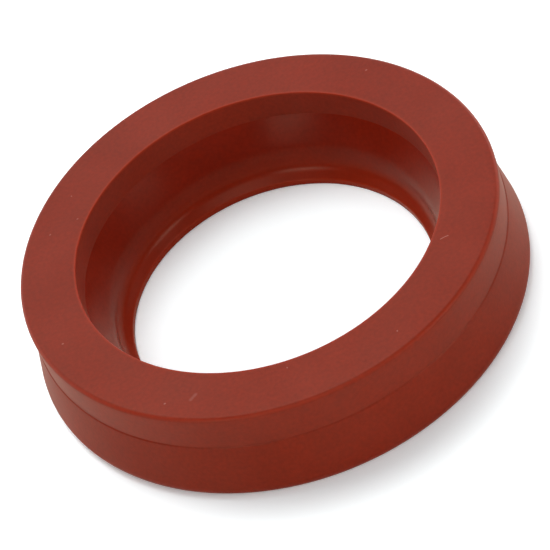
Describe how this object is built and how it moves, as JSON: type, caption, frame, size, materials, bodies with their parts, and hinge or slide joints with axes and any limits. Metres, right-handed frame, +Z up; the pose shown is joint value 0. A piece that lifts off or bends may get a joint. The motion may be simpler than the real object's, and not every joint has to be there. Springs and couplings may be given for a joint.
{
  "type": "valve seal",
  "caption": "Moulded silicone seal ring with a flat upper face, a straight and flared outer wall, and a hole that funnels over a rounded shoulder into a short throat.",
  "frame": {"origin": "middle of the underside, on the ring's axis", "axes": "+Z up along the ring's axis, from the wide foot to the flat upper face with the mouth"},
  "size_m": [0.075, 0.075, 0.0155],
  "materials": {
    "silicone": "matte dark red silicone, flat faces with a fine satin grain, slightly glossier in the funnel"
  },
  "bodies": {
    "root": {"seal_ring": "silicone"}
  },
  "joints": []
}
